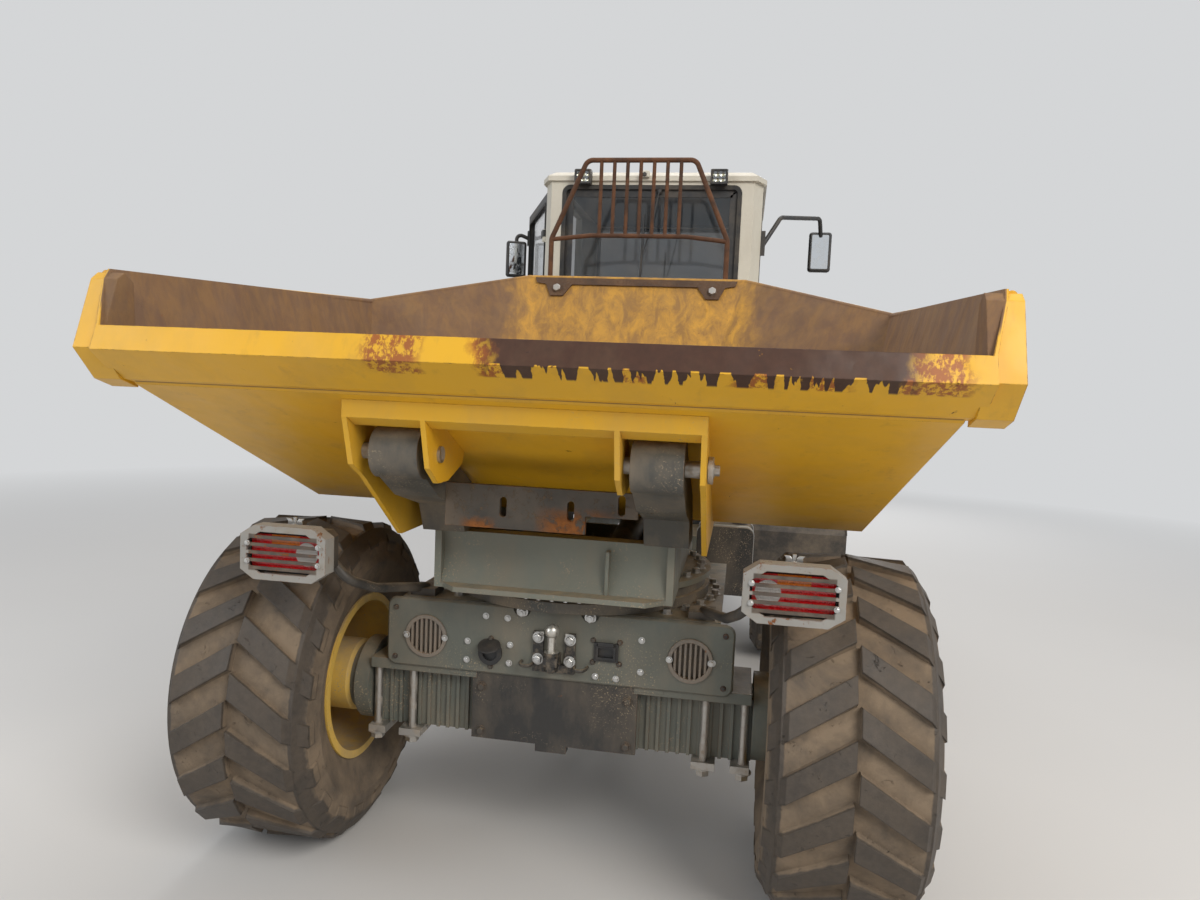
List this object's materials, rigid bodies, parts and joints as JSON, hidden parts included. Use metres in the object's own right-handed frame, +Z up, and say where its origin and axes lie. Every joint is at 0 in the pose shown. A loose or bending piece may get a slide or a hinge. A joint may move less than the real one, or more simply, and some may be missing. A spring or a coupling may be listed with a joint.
{
  "type": "swivel site dumper",
  "caption": "Articulated swivel site dumper with a yellow swivelling skip on a slewing ring, operator cab, tail lamps and traction tyres",
  "frame": {"origin": "On the ground, midway along the machine's length, on its centre line.", "axes": "X to the right when facing the hood end, Y from the skip end towards the hood end, Z up."},
  "size_m": [2.46, 5.37, 2.95],
  "materials": {
    "skip_paint": "sun-faded yellow paint, chipped and rust-stained",
    "frame_paint": "dusty grey-green chassis paint",
    "dark_steel": "black paint, dusty",
    "rusty_steel": "brown surface rust",
    "cab_paint": "cream paint",
    "yellow_paint": "yellow paint",
    "rim_paint": "yellow wheel paint, dusty",
    "red_paint": "red safety paint",
    "tyre_rubber": "dusty tyre rubber",
    "rubber": "black moulded rubber",
    "black_plastic": "black moulded plastic",
    "lens_red": "red lamp lens",
    "lamp_clear": "clear lamp lens",
    "glass": "lightly tinted safety glass",
    "seat_fabric": "dark woven seat cover",
    "cylinder_steel": "hard-chromed rod",
    "bright_steel": "zinc-plated steel"
  },
  "bodies": {
    "rear_frame": {"rear_chassis": "frame_paint", "bumper_plate": "frame_paint", "bumper_grilles": "dark_steel", "tow_hitch": "dark_steel", "trailer_sockets": "black_plastic", "rear_axle": "frame_paint", "axle_clamps": "bright_steel", "axle_guard": "dark_steel", "slew_ring_lower": "dark_steel", "lamp_arms": "frame_paint", "tail_lamp_boxes": "dark_steel", "tail_lamp_lenses": "lens_red", "lamp_guards": "dark_steel"},
    "swivel": {"slew_ring_upper": "dark_steel", "swivel_frame": "frame_paint", "slotted_plate": "dark_steel", "tip_lugs": "frame_paint"},
    "skip": {"skip_tub": "skip_paint", "skip_ribs": "skip_paint", "tip_pins": "bright_steel", "headboard_shield": "rusty_steel", "guard_rack": "rusty_steel", "safety_prop": "red_paint"},
    "tip_barrel_pair": {"tip_barrels": "dark_steel"},
    "tip_rod_pair": {"tip_rods": "cylinder_steel"},
    "front_frame": {"front_chassis": "frame_paint", "front_axle": "frame_paint", "front_fenders": "black_plastic", "front_bumper": "dark_steel", "head_lamps": "lamp_clear", "engine_block": "rusty_steel", "side_tanks": "dark_steel", "cab_steps": "dark_steel", "cab_shell": "cab_paint", "cab_mounts": "rubber", "cab_roof": "cab_paint", "cab_glass": "glass", "operator_seat": "seat_fabric", "steering_console": "black_plastic", "side_mirror": "black_plastic", "work_lamps": "black_plastic", "exhaust_stack": "dark_steel"},
    "door": {"door_frame": "dark_steel", "door_glass": "glass", "door_mirror": "black_plastic"},
    "hood": {"hood_shell": "yellow_paint", "hood_grille": "black_plastic"},
    "steer_barrel_left_body": {"steer_barrel_left": "dark_steel"},
    "steer_rod_left_body": {"steer_rod_left": "cylinder_steel"},
    "steer_barrel_right_body": {"steer_barrel_right": "dark_steel"},
    "steer_rod_right_body": {"steer_rod_right": "cylinder_steel"},
    "wheel_rear_left": {"tyre_rear_left": "tyre_rubber", "rim_rear_left": "rim_paint"},
    "wheel_rear_right": {"tyre_rear_right": "tyre_rubber", "rim_rear_right": "rim_paint"},
    "wheel_front_left": {"tyre_front_left": "tyre_rubber", "rim_front_left": "rim_paint"},
    "wheel_front_right": {"tyre_front_right": "tyre_rubber", "rim_front_right": "rim_paint"}
  },
  "joints": [
    {"name": "steering", "type": "hinge", "parent": "rear_frame", "child": "front_frame", "pos_m": [0, -0.43, 0.748], "axis": [0, 0, 1], "range_deg": [-35, 35]},
    {"name": "swivel", "type": "hinge", "parent": "rear_frame", "child": "swivel", "pos_m": [0, -1.48, 0.976], "axis": [0, 0, 1], "range_deg": [-90, 90]},
    {"name": "tip", "type": "hinge", "parent": "swivel", "child": "skip", "pos_m": [0, -2.4, 1.497], "axis": [1, 0, 0], "range_deg": [0, 62]},
    {"name": "cab_door", "type": "hinge", "parent": "front_frame", "child": "door", "pos_m": [-0.654, 0.347, 2.02], "axis": [0, 0, 1], "range_deg": [-22, 40]},
    {"name": "hood_lid", "type": "hinge", "parent": "front_frame", "child": "hood", "pos_m": [0, 1.62, 1.77], "axis": [1, 0, 0], "range_deg": [0, 65]},
    {"name": "wheel_rear_left_spin", "type": "hinge", "parent": "rear_frame", "child": "wheel_rear_left", "pos_m": [-0.968, -1.78, 0.585], "axis": [1, 0, 0], "continuous": true},
    {"name": "wheel_rear_right_spin", "type": "hinge", "parent": "rear_frame", "child": "wheel_rear_right", "pos_m": [0.968, -1.78, 0.585], "axis": [1, 0, 0], "continuous": true},
    {"name": "wheel_front_left_spin", "type": "hinge", "parent": "front_frame", "child": "wheel_front_left", "pos_m": [-0.968, 0.92, 0.585], "axis": [1, 0, 0], "continuous": true},
    {"name": "wheel_front_right_spin", "type": "hinge", "parent": "front_frame", "child": "wheel_front_right", "pos_m": [0.968, 0.92, 0.585], "axis": [1, 0, 0], "continuous": true},
    {"name": "tip_barrel_swing", "type": "hinge", "parent": "swivel", "child": "tip_barrel_pair", "pos_m": [0, -1.78, 1.1], "axis": [1, 0, 0], "range_deg": [0, 71.58]},
    {"name": "tip_rod_stroke", "type": "slide", "parent": "tip_barrel_pair", "child": "tip_rod_pair", "axis": [0, 0.9967, 0.0814], "range_m": [0, 0.7289]},
    {"name": "steer_barrel_left_swing", "type": "hinge", "parent": "rear_frame", "child": "steer_barrel_left_body", "pos_m": [-0.36, -1.16, 0.748], "axis": [0, 0, 1], "range_deg": [-6.9, 6.9]},
    {"name": "steer_rod_left_stroke", "type": "slide", "parent": "steer_barrel_left_body", "child": "steer_rod_left_body", "axis": [0.1307, 0.9914, 0], "range_m": [-0.156, 0.156]},
    {"name": "steer_barrel_right_swing", "type": "hinge", "parent": "rear_frame", "child": "steer_barrel_right_body", "pos_m": [0.36, -1.16, 0.748], "axis": [0, 0, 1], "range_deg": [-6.9, 6.9]},
    {"name": "steer_rod_right_stroke", "type": "slide", "parent": "steer_barrel_right_body", "child": "steer_rod_right_body", "axis": [-0.1307, 0.9914, 0], "range_m": [-0.156, 0.156]}
  ],
  "couplings": [
    {"joint": "tip_barrel_swing", "follows": "tip", "ratio": 1.1521},
    {"joint": "tip_rod_stroke", "follows": "tip", "m_per_rad": 0.67253},
    {"joint": "steer_barrel_left_swing", "follows": "steering", "ratio": 0.192},
    {"joint": "steer_barrel_right_swing", "follows": "steering", "ratio": 0.192},
    {"joint": "steer_rod_left_stroke", "follows": "steering", "m_per_rad": -0.253},
    {"joint": "steer_rod_right_stroke", "follows": "steering", "m_per_rad": 0.253}
  ]
}
